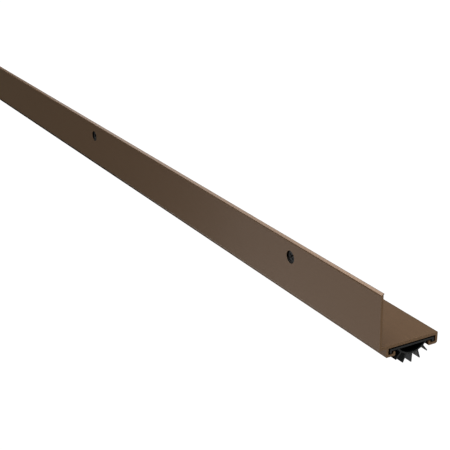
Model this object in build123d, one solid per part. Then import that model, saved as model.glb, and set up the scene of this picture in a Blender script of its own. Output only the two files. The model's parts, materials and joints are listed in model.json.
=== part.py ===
"""L-shaped door bottom: an aluminium extrusion that screws to a door's face, and a vinyl finned seal.

Millimetres. X runs along the door's bottom edge, +Y goes through the door from the screwed face,
and +Z is up. The origin is the middle of the plate's top face, where the door's bottom edge sits.
"""

import os
from math import cos, radians, sin, tan

from build123d import *

# Carrier: lengths and walls
LENGTH = 914.4  # 36 inch door bottom
WALL = 1.3  # flange and channel walls
PLATE_T = 1.5
SEAT_WIDTH = 34.3  # plate's top, from the flange's root to the free edge
FREE_EDGE_RADIUS = 0.3

# Flange: leans a little away from the door, and its lip comes back towards it
FLANGE_HEIGHT = 28.55  # top of the lip above the plate's top
FLANGE_LEAN = 1.5  # degrees
FLANGE_ROOT_RADIUS = 0.4  # inside corner, between flange and plate
FLANGE_FOOT_RADIUS = 0.35  # outside corner, level with the plate's underside
LIP_RISE = 1.1  # height of the lip's sloping back
LIP_REACH = 0.5  # how far the lip stands in from the flange's inner face
LIP_UNDERSIDE_RISE = 0.25  # lip's underside above the foot of its sloping back
LIP_NOSE_HEIGHT = 0.35
LIP_TOP_WIDTH = 0.25
LIP_BACK_RADIUS = 0.9  # where the flange's outer face turns into the sloping back
LIP_TOP_RADIUS = 0.2
LIP_NOSE_RADIUS = 0.12

# Channel under the plate, flush with the plate's free edge
CHANNEL_WIDTH = 31.4  # over both walls
CHANNEL_DROP = 6.2  # from the plate's top to the hooks' underside
CHANNEL_CORNERS = {-1: 0.5, 1: 1.3}  # bottom corner's radius on the flange's side, and on the free side
HOOK_FLOOR_T = 1.25
SLOT_WIDTH = 20.4  # between the hooks
HOOK_LIP_T = 1.1
HOOK_LIP_TOP = -3.75  # height of the upturned lips
HOOK_LIP_RADIUS = 0.5  # both corners of a lip's top
HOOK_TURN_RADIUS = 0.45  # outside of the turn from floor to lip
HOOK_INSIDE_RADII = {"lip": 0.3, "wall": 0.5}  # inside corners on the floor

# Vinyl insert
STRIP_TOP = -2.2
STRIP_T = 1.0
STRIP_WIDTH = 26.9
LEG_T = 1.1
LEG_BOTTOM = -4.5
STRIP_EDGE_RADIUS = 0.3
LEG_ROOT_RADIUS = 0.2
BULB_RADIUS = 11.0  # outside of the D-shaped bulb
BULB_BOTTOM = -7.55
BULB_WALL = 0.7
FIN_ANGLES = (-41.5, -21.0, 0.0, 21.0, 41.5)  # degrees from straight down
FIN_REACH = 14.58  # radius of the circle that the tips lie on
FIN_TIP_BOTTOM = -12.4
FIN_ROOT_T = 0.95
FIN_TIP_T = 0.56
FIN_TIP_RADIUS = 0.16  # tips' rounded corners
FIN_ROOT_FILLET = 0.25  # where a fin's sides meet the bulb

# Screws: number 6 flat heads, sunk below the flange's outer face
SCREW_HEIGHT = 18.8  # above the plate's top, on the flange's outer face
SCREW_FROM_END = 76.2
SCREW_COUNT = 4
SCREW_LENGTH = 12.7
SCREW_RADIUS = 1.75
SCREW_TIP_LENGTH = 3.2
SCREW_POINT_RADIUS = 0.15
SINK_RADIUS = 3.55  # hole's straight mouth
SINK_STRAIGHT = 0.75  # depth of the straight mouth, above the countersink
SINK_HALF_ANGLE = 41.0  # degrees
HEAD_DEPTH = 0.9  # head's top below the flange's outer face
HEAD_CLEARANCE = 0.05  # between the head's cone and the countersink, radially
HEAD_RIM = 0.1  # straight rim on the head
CUTTER_OVERRUN = 0.5  # how far the hole's cutter stands out at each side of the flange
RECESS_DEPTH = 1.7
RECESS_TURN = 45.0  # degrees about the screw's axis, from wings along the bar
RECESS_TAPER = 12  # degrees
RECESS_WING_LENGTH, RECESS_WING_WIDTH = 1.25, 0.32  # of the head's radius, tip to tip and across
RECESS_CORE_TOP, RECESS_CORE_BOTTOM = 0.32, 0.12  # radii of the core, of the head's radius

TOUCHING = 0.001  # points nearer than this are the same point

# Places worked out from those
FREE_EDGE_Y = SEAT_WIDTH / 2
ROOT_Y = -SEAT_WIDTH / 2
CHANNEL_Y = FREE_EDGE_Y - CHANNEL_WIDTH / 2
SLOPE = tan(radians(FLANGE_LEAN))
OUTER_OFFSET = WALL / cos(radians(FLANGE_LEAN))


def inner_face_y(z):
    """Y of the flange's inner face at height z."""
    return ROOT_Y - z * SLOPE


def outer_face_y(z):
    """Y of the flange's outer face at height z."""
    return inner_face_y(z) - OUTER_OFFSET


def along_bar(profile):
    """The profile, drawn with Y across and Z up, made the full length of the bar."""
    return extrude(Plane.YZ * profile, amount=LENGTH / 2, both=True)


def rounded_outline(corners):
    """A closed face from (y, z, corner radius) triples."""
    points = [(y, z) for y, z, _ in corners]
    radii = [radius for _, _, radius in corners]
    return make_face(FilletPolyline(*points, radius=radii, close=True))


def flange_and_plate():
    """The L: flange, its lip and the plate."""
    back_foot_z = FLANGE_HEIGHT - LIP_RISE
    underside_z = back_foot_z + LIP_UNDERSIDE_RISE
    nose_y = inner_face_y(FLANGE_HEIGHT) + LIP_REACH
    return rounded_outline(
        [
            (outer_face_y(-PLATE_T), -PLATE_T, FLANGE_FOOT_RADIUS),
            (FREE_EDGE_Y, -PLATE_T, 0),
            (FREE_EDGE_Y, 0, FREE_EDGE_RADIUS),
            (ROOT_Y, 0, FLANGE_ROOT_RADIUS),
            (inner_face_y(underside_z), underside_z, LIP_TOP_RADIUS),
            (nose_y, FLANGE_HEIGHT - LIP_NOSE_HEIGHT, LIP_NOSE_RADIUS),
            (nose_y - LIP_TOP_WIDTH, FLANGE_HEIGHT, LIP_TOP_RADIUS),
            (outer_face_y(back_foot_z), back_foot_z, LIP_BACK_RADIUS),
        ]
    )


def hook(side):
    """One channel wall with its floor and upturned lip; side is -1 or 1 from the channel's centre."""
    outer = CHANNEL_WIDTH / 2
    inner = outer - WALL
    slot = SLOT_WIDTH / 2
    floor = HOOK_FLOOR_T - CHANNEL_DROP
    top = -PLATE_T / 2  # inside the plate, which it joins
    corners = [
        (outer, top, 0),
        (outer, -CHANNEL_DROP, CHANNEL_CORNERS[side]),
        (slot, -CHANNEL_DROP, HOOK_TURN_RADIUS),
        (slot, HOOK_LIP_TOP, HOOK_LIP_RADIUS),
        (slot + HOOK_LIP_T, HOOK_LIP_TOP, HOOK_LIP_RADIUS),
        (slot + HOOK_LIP_T, floor, HOOK_INSIDE_RADII["lip"]),
        (inner, floor, HOOK_INSIDE_RADII["wall"]),
        (inner, top, 0),
    ]
    return rounded_outline([(CHANNEL_Y + side * y, z, radius) for y, z, radius in corners])


def flange_plane(x):
    """At a screw, on the flange's outer face: local Z goes square through the flange to the door."""
    lean = radians(FLANGE_LEAN)
    to_door = (0, cos(lean), sin(lean))
    return Plane(origin=(x, outer_face_y(SCREW_HEIGHT), SCREW_HEIGHT), x_dir=(1, 0, 0), z_dir=to_door)


def screw_places():
    """X of each screw, from the +X end."""
    first = LENGTH / 2 - SCREW_FROM_END
    pitch = 2 * first / (SCREW_COUNT - 1)
    return [first - i * pitch for i in range(SCREW_COUNT)]


def turned(corners):
    """A solid of revolution about local Z from (radius, z) corners."""
    return revolve(Plane.XZ * make_face(Polyline(*corners, close=True)), axis=Axis.Z)


def sink_radius(depth):
    """Radius of a screw's hole below its straight mouth, at a depth from the flange's outer face."""
    return SINK_RADIUS - (depth - SINK_STRAIGHT) * tan(radians(SINK_HALF_ANGLE))


def countersink():
    """The cutter for one screw hole, from just outside the flange to just beyond it."""
    outside, beyond = -CUTTER_OVERRUN, WALL + CUTTER_OVERRUN
    return turned(
        [
            (0, outside),
            (SINK_RADIUS, outside),
            (SINK_RADIUS, SINK_STRAIGHT),
            (sink_radius(beyond), beyond),
            (0, beyond),
        ]
    )


def cross_recess(head_radius):
    """The cutter for the cross recess: four narrow wings that taper to a point at the centre."""
    wing_length, wing_width = RECESS_WING_LENGTH * head_radius, RECESS_WING_WIDTH * head_radius
    wings = Rectangle(wing_length, wing_width) + Rectangle(wing_width, wing_length)
    cross = extrude(wings, amount=RECESS_DEPTH, taper=RECESS_TAPER)
    core_top, core_bottom = RECESS_CORE_TOP * head_radius, RECESS_CORE_BOTTOM * head_radius
    core = turned([(0, 0), (core_top, 0), (core_bottom, RECESS_DEPTH), (0, RECESS_DEPTH)])
    return cross + core


def screw():
    """A number 6 flat-head screw along local Z, its head's top below the flange's outer face."""
    rim_z = HEAD_DEPTH + HEAD_RIM
    head_radius = sink_radius(rim_z) - HEAD_CLEARANCE
    neck_z = rim_z + (head_radius - SCREW_RADIUS) / tan(radians(SINK_HALF_ANGLE))
    end = HEAD_DEPTH + SCREW_LENGTH
    body = turned(
        [
            (0, HEAD_DEPTH),
            (head_radius, HEAD_DEPTH),
            (head_radius, rim_z),
            (SCREW_RADIUS, neck_z),
            (SCREW_RADIUS, end - SCREW_TIP_LENGTH),
            (SCREW_POINT_RADIUS, end),
            (0, end),
        ]
    )
    return body - Pos(0, 0, HEAD_DEPTH) * Rot(0, 0, RECESS_TURN) * cross_recess(head_radius)


def carrier():
    """The extrusion, cut square at both ends and drilled for its screws."""
    bar = along_bar(flange_and_plate() + hook(-1) + hook(1))
    for x in screw_places():
        bar -= flange_plane(x) * countersink()
    return bar


def fin(angle):
    """One tapered fin, from inside the bulb's wall to its rounded tip."""
    centre_z = FIN_TIP_BOTTOM + FIN_REACH
    root_z = BULB_BOTTOM - centre_z + BULB_WALL / 2
    half_root, half_tip = FIN_ROOT_T / 2, FIN_TIP_T / 2
    blade = rounded_outline(
        [
            (-half_root, root_z, 0),
            (half_root, root_z, 0),
            (half_tip, -FIN_REACH, FIN_TIP_RADIUS),
            (-half_tip, -FIN_REACH, FIN_TIP_RADIUS),
        ]
    )
    return Pos(CHANNEL_Y, centre_z) * Rot(0, 0, angle) * blade


def is_fin_root(corner, bulb_centre):
    """Whether a corner of the finned bulb's outline is where a fin's side meets the bulb."""
    offset = Vector(corner) - bulb_centre.position
    return abs(offset.length - BULB_RADIUS) < TOUCHING and offset.Y < 0


def fin_insert():
    """The vinyl extrusion: a strip with a leg at each edge, a hollow D-shaped bulb and five fins."""
    half, leg = STRIP_WIDTH / 2, STRIP_WIDTH / 2 - LEG_T
    strip_bottom = STRIP_TOP - STRIP_T
    corners = [
        (half, STRIP_TOP, STRIP_EDGE_RADIUS),
        (half, LEG_BOTTOM, STRIP_EDGE_RADIUS),
        (leg, LEG_BOTTOM, STRIP_EDGE_RADIUS),
        (leg, strip_bottom, LEG_ROOT_RADIUS),
    ]
    mirrored = [(-y, z, radius) for y, z, radius in reversed(corners)]
    strip = rounded_outline([(CHANNEL_Y + y, z, radius) for y, z, radius in corners + mirrored])
    bulb_centre = Pos(CHANNEL_Y, BULB_BOTTOM + BULB_RADIUS)
    bulb = bulb_centre * Circle(BULB_RADIUS)
    fins = sum((fin(angle) for angle in FIN_ANGLES), start=Sketch())
    finned = bulb + fins
    roots = [corner for corner in finned.vertices() if is_fin_root(corner, bulb_centre)]
    finned = fillet(roots, FIN_ROOT_FILLET)
    above_strip = Pos(CHANNEL_Y, strip_bottom) * Rectangle(
        2 * STRIP_WIDTH, 2 * BULB_RADIUS, align=(Align.CENTER, Align.MIN)
    )
    hollow = bulb_centre * Circle(BULB_RADIUS - BULB_WALL)
    return along_bar(strip + (finned - hollow - above_strip))


def write(node, shape):
    """One STEP file for each node."""
    shape.label = node
    export_step(shape, f"parts/{node}.step")


os.makedirs("parts", exist_ok=True)
write("carrier_extrusion", carrier())
write("fin_insert", fin_insert())
for number, place in enumerate(screw_places(), start=1):
    write(f"screw_{number}", flange_plane(place) * screw())
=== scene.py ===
"""Looks for the door sweep: bronze-coated extrusion, black vinyl insert and black screws, on plain white."""

import json
from math import atan2, cos, hypot, pi, radians, sin, tan

import bmesh
import bpy
from mathutils import Matrix, Vector


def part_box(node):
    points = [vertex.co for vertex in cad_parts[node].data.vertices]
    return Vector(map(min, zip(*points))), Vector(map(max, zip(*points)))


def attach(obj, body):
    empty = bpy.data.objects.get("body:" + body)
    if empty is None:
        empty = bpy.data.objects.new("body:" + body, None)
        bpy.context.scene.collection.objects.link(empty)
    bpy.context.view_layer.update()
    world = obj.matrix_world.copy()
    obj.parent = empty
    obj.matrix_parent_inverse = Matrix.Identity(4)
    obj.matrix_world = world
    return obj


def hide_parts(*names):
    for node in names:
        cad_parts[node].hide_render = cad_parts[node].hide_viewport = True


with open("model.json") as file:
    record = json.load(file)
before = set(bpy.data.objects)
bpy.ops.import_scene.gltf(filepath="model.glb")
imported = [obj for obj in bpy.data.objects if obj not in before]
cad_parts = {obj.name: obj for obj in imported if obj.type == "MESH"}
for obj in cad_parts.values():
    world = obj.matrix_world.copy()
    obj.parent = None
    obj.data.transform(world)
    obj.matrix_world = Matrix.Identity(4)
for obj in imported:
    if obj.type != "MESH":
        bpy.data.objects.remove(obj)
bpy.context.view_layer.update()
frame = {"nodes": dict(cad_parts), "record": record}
nodes = frame["nodes"]
scene = bpy.context.scene


class Nodes:
    """A short way to write a material's node tree."""

    def __init__(self, tree):
        self.tree = tree
        tree.nodes.clear()

    def add(self, kind, **settings):
        node = self.tree.nodes.new(kind)
        for key, value in settings.items():
            setattr(node, key, value)
        return node

    def link(self, a, b):
        self.tree.links.new(a, b)

    def put(self, socket, value):
        if isinstance(value, bpy.types.NodeSocket):
            self.link(value, socket)
        else:
            socket.default_value = value

    def math(self, operation, a, b=None, c=None):
        node = self.add("ShaderNodeMath", operation=operation)
        for socket, value in zip(node.inputs, (a, b, c)):
            if value is not None:
                self.put(socket, value)
        return node.outputs[0]

    def length(self, a, b):
        """The distance that a and b, square to each other, add up to."""
        return self.math("SQRT", self.math("ADD", self.math("MULTIPLY", a, a), self.math("MULTIPLY", b, b)))

    def less(self, value, mask, amount):
        """The value, less the amount where the mask is 1."""
        return self.math("SUBTRACT", value, self.math("MULTIPLY", mask, amount))

    def position(self):
        node = self.add("ShaderNodeTexCoord")
        return node.outputs["Object"]

    def split(self, vector):
        node = self.add("ShaderNodeSeparateXYZ")
        self.link(vector, node.inputs[0])
        return node.outputs

    def stretched(self, scale):
        """Object coordinates in metres, multiplied by scale on each axis."""
        node = self.add("ShaderNodeMapping")
        self.link(self.position(), node.inputs["Vector"])
        node.inputs["Scale"].default_value = scale
        return node.outputs[0]

    def noise(self, scale, detail, roughness):
        node = self.add("ShaderNodeTexNoise")
        self.link(self.stretched(scale), node.inputs["Vector"])
        node.inputs["Scale"].default_value = 1.0
        node.inputs["Detail"].default_value = detail
        node.inputs["Roughness"].default_value = roughness
        return node.outputs["Fac"]

    def between(self, value, low, high, out_low=0.0, out_high=1.0):
        """The value's place between low and high, clamped, as a number from out_low to out_high."""
        node = self.add("ShaderNodeMapRange", clamp=True)
        self.link(value, node.inputs["Value"])
        ends = {"From Min": low, "From Max": high, "To Min": out_low, "To Max": out_high}
        for name, number in ends.items():
            node.inputs[name].default_value = number
        return node.outputs["Result"]

    def mix(self, factor, a, b):
        node = self.add("ShaderNodeMix", data_type="RGBA")
        for name, value in (("Factor_Float", factor), ("A_Color", a), ("B_Color", b)):
            socket = next(s for s in node.inputs if s.identifier == name)
            self.put(socket, value)
        return next(s for s in node.outputs if s.identifier == "Result_Color")

    def bump(self, height, distance, strength, normal=None):
        node = self.add("ShaderNodeBump")
        node.inputs["Strength"].default_value = strength
        node.inputs["Distance"].default_value = distance
        self.link(height, node.inputs["Height"])
        if normal is not None:
            self.link(normal, node.inputs["Normal"])
        return node.outputs["Normal"]

    def finish(self, **inputs):
        """The shader and the material's output; an underscore in a name stands for a space."""
        shader = self.add("ShaderNodeBsdfPrincipled")
        for name, value in inputs.items():
            self.put(shader.inputs[name.replace("_", " ")], value)
        out = self.add("ShaderNodeOutputMaterial")
        self.link(shader.outputs[0], out.inputs[0])


def material(name):
    made = bpy.data.materials.new(name)
    made.use_nodes = True
    return made, Nodes(made.node_tree)


def rgb(r, g, b):
    return (r, g, b, 1.0)


NOISE_MIDDLE = (0.3, 0.7)  # about where most of a noise's values lie
NOISE_SPREAD = (0.2, 0.8)

# Carrier
BRONZE_TONES = rgb(0.144, 0.081, 0.040), rgb(0.154, 0.087, 0.044)  # across the die lines
BRONZE_PATCH = rgb(0.150, 0.082, 0.040)
PATCH_RANGE, PATCH_STRENGTH = (0.35, 0.65), 0.35
SAWN_TONES = rgb(0.205, 0.112, 0.049), rgb(0.250, 0.139, 0.062)  # across the saw marks
BAR_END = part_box("carrier_extrusion")[1].x
WALL = 0.0013  # flange's thickness
FLANGE_ROOT_Y = -0.01715  # flange's inner face, level with the plate's top
FLANGE_SLOPE = tan(radians(1.5))  # how far that face leans out for each metre up
CUT_DEPTH = 0.00004  # how deep the saw-cut look goes in from each end

# Painted shade along the channel's bottom corner, on the flange's side, darkest mid-bar and fading towards
# the +X end; the pairs are for mid-bar and near the +X end
SHADE_CORNER_X = (0.05, 0.42)
SHADE_CORNER_TOPS = (-0.0042, -0.0056)
SHADE_CORNER_STRENGTHS = (0.97, 0.35)
SHADE_CORNER_Y = -0.0136  # the corner lies on the -Y side of this
SHADE_CORNER_BLUR = 0.0003  # height over which it fades out at its top
CORNER_SHADE_BLACK = rgb(0.002, 0.001, 0.001)

# Screw holes, with painted shade on their walls
JOINTS = frame["record"]["behaviour"]["joints"]
SCREW_JOINTS = {joint["child"]: joint for joint in JOINTS if joint["name"].startswith("screw_")}
FIRST_SCREW, SECOND_SCREW = (SCREW_JOINTS[body]["pos_m"] for body in ("screw_1", "screw_2"))
SCREW_PITCH = FIRST_SCREW[0] - SECOND_SCREW[0]
SCREW_Z = FIRST_SCREW[2]
HOLE_RADIUS = 0.00355
FACE_SKIN = 0.00003  # the painted shade on the hole's wall stops this far under the flange's faces
HOLE_SHADE_TONES = rgb(0.022, 0.021, 0.020), rgb(0.003, 0.003, 0.003)  # painted shade on the hole's wall: dark grey at its bottom, painted as lit from above, and black higher up, painted as shadow
HOLE_SHADE_FADE = (-0.0026, -0.0010)  # from the first tone to the second, as heights from the screw's axis


def painted_corner_shade(n, x, y, z):
    """How strongly painted shade blackens the channel's bottom corner, and 0 elsewhere."""
    above = n.math("SUBTRACT", z, n.between(x, *SHADE_CORNER_X, *SHADE_CORNER_TOPS))
    low = n.between(above, -SHADE_CORNER_BLUR, 0.0, 1.0, 0.0)
    corner = n.math("MULTIPLY", low, n.math("LESS_THAN", y, SHADE_CORNER_Y))
    return n.math("MULTIPLY", corner, n.between(x, *SHADE_CORNER_X, *SHADE_CORNER_STRENGTHS))


def hole_wall_shade(n, along, above_screw, y, z):
    """Where painted shade goes: 1 on the walls of the screw holes, and 0 elsewhere."""
    # each half of the bar has two screws, half a pitch either side of a place one pitch from the middle
    halfway = n.math("ABSOLUTE", n.math("SUBTRACT", along, SCREW_PITCH))
    across = n.math("SUBTRACT", halfway, SCREW_PITCH / 2)
    near_axis = n.math("LESS_THAN", n.length(across, above_screw), HOLE_RADIUS + FACE_SKIN)
    from_inner_face = n.math("ADD", n.math("SUBTRACT", y, FLANGE_ROOT_Y), n.math("MULTIPLY", z, FLANGE_SLOPE))
    in_flange = n.math("COMPARE", from_inner_face, -WALL / 2, WALL / 2 - FACE_SKIN)
    return n.math("MULTIPLY", near_axis, in_flange)


def bronze():
    """Dark bronze coating: fine die lines along the bar, saw marks on its ends, and painted shade, black on
    the holes' walls and along the channel's bottom corner.
    """
    made, n = material("bronze_coating")
    x, y, z = n.split(n.position())
    along = n.math("ABSOLUTE", x)
    die_lines = n.noise((3.0, 900.0, 900.0), detail=5.0, roughness=0.6)
    patches = n.noise((2.2, 25.0, 25.0), detail=3.0, roughness=0.5)
    grain = n.noise((2500.0, 9000.0, 9000.0), detail=2.0, roughness=0.6)
    colour = n.mix(n.between(die_lines, *NOISE_MIDDLE), *BRONZE_TONES)
    colour = n.mix(n.between(patches, *PATCH_RANGE, out_high=PATCH_STRENGTH), colour, BRONZE_PATCH)

    cut = n.math("GREATER_THAN", along, BAR_END - CUT_DEPTH)
    saw_marks = n.noise((1.0, 5200.0, 500.0), detail=3.0, roughness=0.6)
    colour = n.mix(cut, colour, n.mix(n.between(saw_marks, *NOISE_MIDDLE), *SAWN_TONES))

    # painted shade: black along the channel's bottom corner
    corner = painted_corner_shade(n, x, y, z)
    colour = n.mix(corner, colour, CORNER_SHADE_BLACK)

    above_screw = n.math("SUBTRACT", z, SCREW_Z)
    # painted shade on the holes' walls: black higher up, lighter grey at their bottoms as painted light
    hole_shade = hole_wall_shade(n, along, above_screw, y, z)
    colour = n.mix(hole_shade, colour, n.mix(n.between(above_screw, *HOLE_SHADE_FADE), *HOLE_SHADE_TONES))

    # where painted shade lies, less metal, specular and coat keep it dark
    painted_shade = n.math("MAXIMUM", hole_shade, corner)
    rough = n.between(die_lines, *NOISE_SPREAD, 0.28, 0.34)
    normal = n.bump(die_lines, distance=0.00002, strength=0.5)
    normal = n.bump(grain, distance=0.000006, strength=0.4, normal=normal)
    normal = n.bump(n.math("MULTIPLY", saw_marks, cut), distance=0.00001, strength=0.5, normal=normal)
    n.finish(
        Base_Color=colour,
        Roughness=n.math("ADD", rough, n.math("MULTIPLY", cut, 0.05)),
        Metallic=n.less(0.5, painted_shade, 0.5),
        Specular_IOR_Level=n.less(0.5, painted_shade, 0.45),
        Specular_Tint=rgb(0.92, 0.82, 0.73),
        Coat_Weight=n.less(0.25, painted_shade, 0.25),
        Coat_Roughness=0.16,
        Normal=normal,
    )
    return made


VINYL_TONES = rgb(0.004, 0.005, 0.006), rgb(0.007, 0.009, 0.010)


def vinyl():
    """Black vinyl, semi-matt, with faint drawing lines along its length."""
    made, n = material("black_vinyl")
    lines = n.noise((4.0, 1500.0, 1500.0), detail=4.0, roughness=0.6)
    grain = n.noise((3000.0, 3000.0, 3000.0), detail=2.0, roughness=0.5)
    normal = n.bump(lines, distance=0.00002, strength=0.4)
    n.finish(
        Base_Color=n.mix(n.between(lines, *NOISE_MIDDLE), *VINYL_TONES),
        Roughness=n.between(lines, *NOISE_SPREAD, 0.28, 0.38),
        Specular_IOR_Level=0.35,
        Normal=n.bump(grain, distance=0.00001, strength=0.3, normal=normal),
    )
    return made


OXIDE_TONES = rgb(0.030, 0.030, 0.030), rgb(0.050, 0.051, 0.051)
# painted shade round the screw head's edge
RIM_SHADE_BLACK = rgb(0.003, 0.003, 0.003)
RIM_SHADE_START = 0.00318  # radius where the painted shade on the head's edge starts
RIM_SHADE_BLUR = 0.0001  # width over which it does


def screw_black():
    """Black oxide, with painted shade turning the head's edge black."""
    made, n = material("black_oxide")
    x, y, _ = n.split(n.position())
    # painted shade: a black ring round the head's edge, rougher there, with less metal and specular
    ring = n.between(n.length(x, y), RIM_SHADE_START, RIM_SHADE_START + RIM_SHADE_BLUR)
    grain = n.noise((1800.0, 1800.0, 1800.0), detail=4.0, roughness=0.6)
    colour = n.mix(n.between(grain, *NOISE_MIDDLE), *OXIDE_TONES)
    n.finish(
        Base_Color=n.mix(ring, colour, RIM_SHADE_BLACK),
        Roughness=n.math("ADD", n.between(grain, *NOISE_SPREAD, 0.32, 0.5), n.math("MULTIPLY", ring, 0.2)),
        Metallic=n.less(0.7, ring, 0.7),
        Specular_IOR_Level=n.less(0.5, ring, 0.4),
        Normal=n.bump(grain, distance=0.00001, strength=0.4),
    )
    return made


def dress(obj, finish):
    obj.data.materials.clear()
    obj.data.materials.append(finish)


dress(nodes["carrier_extrusion"], bronze())
dress(nodes["fin_insert"], vinyl())

# Screws: along local Z, from the flange's outer face at z = 0 towards the door
HEAD_TOP = 0.0009
HEAD_RADIUS = 0.00328
HEAD_ARRIS = 0.00005  # rounding of the head's top edge
ARRIS_STEPS = 3
HEAD_FLAT_RADIUS = HEAD_RADIUS - 1.4 * HEAD_ARRIS
HEAD_RIM = 0.0001  # straight part of the head's side
HEAD_TAPER = tan(radians(41.0))
CORE_RADIUS = 0.0012
CORE_SHARE = 0.8  # of the thread's radius, where the point narrows
# each point of the curve from head to core: its radius beyond the core's, and its z from the throat
NECK_CURVE = ((0.0002, -0.00023), (0.00005, 0.0), (0.0, 0.0002))
THREAD_RADIUS = 0.00175
THREAD_PITCH = 0.00141
THREAD_WIDTH = 0.00062  # along the axis, at the core
THREAD_LAND = 0.00012  # along the axis, at the crest
THREAD_SUNK = 0.9  # of the core's radius, where the ridge's foot lies
THREAD_START, THREAD_END = 0.0031, 0.0131
THREAD_STEPS = 36  # in one turn
POINT_START, SCREW_END = 0.0104, 0.0136
POINT_RINGS = (POINT_START, 0.0114, 0.0122, 0.0130)  # heights of the rings down the taper
POINT_RADIUS = 0.00012
POINT_TIP = 0.00003  # depth of the blunt cone at the very end
RECESS_DEPTH = 0.0019
RECESS_TURN = radians(45.0)  # about the screw's axis, from wings along the bar
# each level: its depth below the head's top, and its wings' width and reach as shares of those at the mouth
RECESS_LEVELS = ((-0.0001, 1.0, 1.0), (0.0, 1.0, 1.0), (0.0009, 0.82, 0.80), (0.0014, 0.66, 0.52))
WING_REACH, WING_HALF_WIDTH, WING_ROUNDING = 0.00205, 0.00052, 0.00018
WING_ROOT = 1.55 * WING_HALF_WIDTH  # the corners between wings are filled to here
QUARTER = pi / 2
ROUND_STEPS = 72


def lathe(bm, profile, steps):
    """A closed solid of revolution about Z, from (radius, z) points that start and end on the axis."""
    rings = []
    for radius, z in profile:
        count = steps if radius > 0 else 1
        angles = [2 * pi * i / steps for i in range(count)]
        rings.append([bm.verts.new((radius * cos(a), radius * sin(a), z)) for a in angles])
    for upper, lower in zip(rings, rings[1:]):
        for i in range(steps):
            corners = [(upper, i), (upper, i + 1), (lower, i + 1), (lower, i)]
            bm.faces.new(dict.fromkeys(ring[index % len(ring)] for ring, index in corners))


def envelope(z):
    """The screw's largest radius at z: full along the shank, then narrowing to the point."""
    left = min(1.0, max(0.0, (SCREW_END - z) / (SCREW_END - POINT_START)))
    return POINT_RADIUS + (THREAD_RADIUS - POINT_RADIUS) * left


def core(z):
    return min(CORE_RADIUS, CORE_SHARE * envelope(z))


def join(bm, rings):
    """Faces between each ring of corners and the next, where all have the same number."""
    for a, b in zip(rings, rings[1:]):
        for i in range(len(a)):
            after = (i + 1) % len(a)
            bm.faces.new((a[i], a[after], b[after], b[i]))


def thread(bm):
    """A ridge wound round the core; it rises over its first turn and runs out over its last half turn."""
    count = round((THREAD_END - THREAD_START) / THREAD_PITCH * THREAD_STEPS)
    sections = []
    for i in range(count + 1):
        z = THREAD_START + i * THREAD_PITCH / THREAD_STEPS
        angle = 2 * pi * i / THREAD_STEPS
        rise = min(1.0, i / THREAD_STEPS, 2 * (count - i) / THREAD_STEPS)
        crest = core(z) + (envelope(z + THREAD_LAND) - core(z)) * rise
        root = THREAD_SUNK * core(z)
        outline = [
            (root, -THREAD_WIDTH / 2),
            (crest, -THREAD_LAND / 2),
            (crest, THREAD_LAND / 2),
            (root, THREAD_WIDTH / 2),
        ]
        sections.append([bm.verts.new((r * cos(angle), r * sin(angle), z + dz)) for r, dz in outline])
    join(bm, sections)
    bm.faces.new(sections[0])
    bm.faces.new(sections[-1])


def mesh_object(name, build):
    bm = bmesh.new()
    build(bm)
    bmesh.ops.recalc_face_normals(bm, faces=bm.faces)
    mesh = bpy.data.meshes.new(name)
    bm.to_mesh(mesh)
    bm.free()
    made = bpy.data.objects.new(name, mesh)
    scene.collection.objects.link(made)
    return made


def screw_body(bm):
    """Head, core and point, without the recess and the thread."""
    neck = HEAD_TOP + HEAD_ARRIS + HEAD_RIM
    throat = neck + (HEAD_RADIUS - CORE_RADIUS) / HEAD_TAPER
    profile = [(0.0, HEAD_TOP), (HEAD_FLAT_RADIUS, HEAD_TOP)]
    profile += [
        (HEAD_RADIUS - HEAD_ARRIS * (1 - sin(a)), HEAD_TOP + HEAD_ARRIS * (1 - cos(a)))
        for a in (QUARTER * k / ARRIS_STEPS for k in range(ARRIS_STEPS + 1))
    ]
    profile.append((HEAD_RADIUS, neck))
    profile += [(CORE_RADIUS + extra, throat + dz) for extra, dz in NECK_CURVE]
    profile += [(core(z), z) for z in POINT_RINGS]
    profile += [(core(SCREW_END), SCREW_END - POINT_TIP), (0.0, SCREW_END)]
    lathe(bm, profile, ROUND_STEPS)


def wing_outline():
    """The recess's mouth about the axis: four wings with rounded tips."""
    half_flat = WING_HALF_WIDTH - WING_ROUNDING
    wing = [(WING_ROOT, -WING_HALF_WIDTH)]
    for side, turned in ((-1, -1.0), (-1, -0.5), (-1, 0.0), (1, 0.0), (1, 0.5), (1, 1.0)):
        a = turned * QUARTER
        wing.append((WING_REACH - WING_ROUNDING * (1 - cos(a)), half_flat * side + WING_ROUNDING * sin(a)))
    wing.append((WING_ROOT, WING_HALF_WIDTH))
    turns = [Matrix.Rotation(k * QUARTER, 3, "Z") for k in range(4)]
    return [turn @ Vector((x, y, 0.0)) for turn in turns for x, y in wing]


def narrowed(point, width, reach):
    """A point of the outline, moved in to a deeper level's width and reach."""
    distance, angle = hypot(point.x, point.y), atan2(point.y, point.x)
    main = round(angle / QUARTER) * QUARTER  # the direction of the point's own wing
    radial, aside = distance * cos(angle - main) * reach, distance * sin(angle - main) * width
    return radial * cos(main) - aside * sin(main), radial * sin(main) + aside * cos(main)


def recess_cutter(bm):
    """The cross recess's hollow: its wings narrow with depth, and its floors slope down to the centre."""
    outline = wing_outline()
    rings = [
        [bm.verts.new((*narrowed(point, width, reach), HEAD_TOP + depth)) for point in outline]
        for depth, width, reach in RECESS_LEVELS
    ]
    join(bm, rings)
    bm.faces.new(rings[0])
    bottom = bm.verts.new((0.0, 0.0, HEAD_TOP + RECESS_DEPTH))
    last = rings[-1]
    for corner, after in zip(last, last[1:] + last[:1]):
        bm.faces.new((corner, after, bottom))


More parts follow.
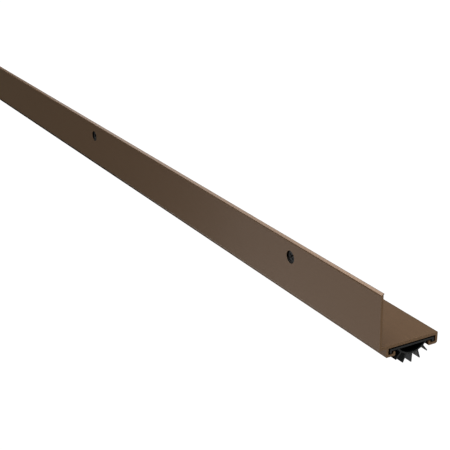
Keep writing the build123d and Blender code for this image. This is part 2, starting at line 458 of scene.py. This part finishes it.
def screw_mesh():
    """The screw with its recess cut, as one mesh that all four share."""
    body = mesh_object("screw_body", screw_body)
    cutter = mesh_object("recess_cutter", recess_cutter)
    ridge = mesh_object("screw_thread", thread)
    cut = body.modifiers.new("recess", "BOOLEAN")
    cut.operation, cut.solver, cut.object = "DIFFERENCE", "EXACT", cutter
    finished = bpy.data.meshes.new("wood_screw")
    bm = bmesh.new()
    bm.from_object(body, bpy.context.evaluated_depsgraph_get())
    bm.from_mesh(ridge.data)
    bm.to_mesh(finished)
    bm.free()
    for leftover in (body, cutter, ridge):
        bpy.data.objects.remove(leftover)
    finished.shade_smooth()
    finished.set_sharp_from_angle(angle=radians(35))
    return finished


black = screw_black()
shared = screw_mesh()
for body, joint in SCREW_JOINTS.items():
    piece = bpy.data.objects.new(f"{body}_threaded", shared)
    scene.collection.objects.link(piece)
    to_door = Vector(joint["axis"])
    along_bar = Vector((1, 0, 0))
    upright = Matrix((along_bar, to_door.cross(along_bar), to_door)).transposed()
    turn = upright @ Matrix.Rotation(RECESS_TURN, 3, "Z")
    piece.matrix_world = Matrix.Translation(joint["pos_m"]) @ turn.to_4x4()
    dress(piece, black)
    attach(piece, body)
    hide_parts(body)


# Stage: a white backdrop all round that only the camera sees, and soft lights
BACKDROP_RADIUS, BACKDROP_GLOW = 12.0, 1.05
FILL_COLOUR, FILL_GLOW = rgb(1.0, 0.94, 0.80), 0.095
LIT_PLACE = Vector((0.42, 0, 0))  # near the bar's +X end


def backdrop_ball(bm):
    bmesh.ops.create_icosphere(bm, subdivisions=4, radius=BACKDROP_RADIUS)


def emitter(name, strength):
    made, n = material(name)
    shade = n.add("ShaderNodeEmission")
    shade.inputs["Strength"].default_value = strength
    shade.inputs["Color"].default_value = rgb(1, 1, 1)
    out = n.add("ShaderNodeOutputMaterial")
    n.link(shade.outputs[0], out.inputs[0])
    return made


def softbox(name, direction, size, radiance, distance=2.0, tint=(1.0, 1.0, 1.0)):
    """A square area light that faces the lit place, seen from there in the given direction."""
    light = bpy.data.lights.new(name, "AREA")
    light.shape, light.size, light.color = "SQUARE", size, tint
    light.energy = radiance * pi * size * size
    made = bpy.data.objects.new(name, light)
    scene.collection.objects.link(made)
    away = Vector(direction).normalized()
    made.location = LIT_PLACE + away * distance
    made.rotation_euler = away.to_track_quat("Z", "Y").to_euler()


backdrop = mesh_object("backdrop", backdrop_ball)
dress(backdrop, emitter("white_sweep", BACKDROP_GLOW))
for flag in ("visible_diffuse", "visible_glossy", "visible_transmission", "visible_shadow"):
    setattr(backdrop, flag, False)

world = bpy.data.worlds.new("studio")
scene.world = world
world.use_nodes = True
background = next(s for s in world.node_tree.nodes if s.type == "BACKGROUND")
background.inputs["Color"].default_value = FILL_COLOUR
background.inputs["Strength"].default_value = FILL_GLOW

softbox("overhead", (-0.15, -0.20, 0.95), size=2.4, radiance=2.6)
softbox("top_left", (-0.78, -0.26, 0.57), size=1.0, radiance=2.2, tint=(0.94, 1.03, 1.16))
softbox("front_low", (-0.58, -0.66, -0.48), size=1.4, radiance=0.63, tint=(0.98, 1.02, 1.08))
softbox("fin_low", (-0.80, -0.06, -0.60), size=0.7, radiance=1.7)
softbox("back_left", (-0.685, 0.563, 0.467), size=1.4, radiance=0.19)
softbox("back_high", (0.0, 0.7, 0.7), size=1.4, radiance=4.3)
softbox("near_front", (0.25, -0.90, 0.30), size=1.4, radiance=1.8)
softbox("end_low", (0.64, 0.66, -0.39), size=1.1, radiance=0.62)
softbox("behind", (0.30, 0.95, 0.12), size=1.4, radiance=1.2)
softbox("far_end", (-0.93, 0.30, 0.10), size=1.4, radiance=0.6, distance=2.4)
softbox("below", (0.0, 0.15, -1.0), size=1.6, radiance=1.5)

# Camera, solved from the bar's long edges, its square-cut end and the screws
CAMERA_PLACE = (0.80499, -0.30389, 0.23678)
AZIMUTH, ELEVATION = radians(59.92), radians(21.424)
back = Vector((sin(AZIMUTH) * cos(ELEVATION), -cos(AZIMUTH) * cos(ELEVATION), sin(ELEVATION)))
lens = bpy.data.cameras.new("camera")
lens.lens, lens.sensor_width = 85, 36
lens.clip_start, lens.clip_end = 0.01, 50
camera = bpy.data.objects.new("camera", lens)
scene.collection.objects.link(camera)
camera.location = CAMERA_PLACE
camera.rotation_mode = "QUATERNION"
camera.rotation_quaternion = (-back).to_track_quat("-Z", "Y")
scene.camera = camera
scene.view_settings.view_transform = "Standard"
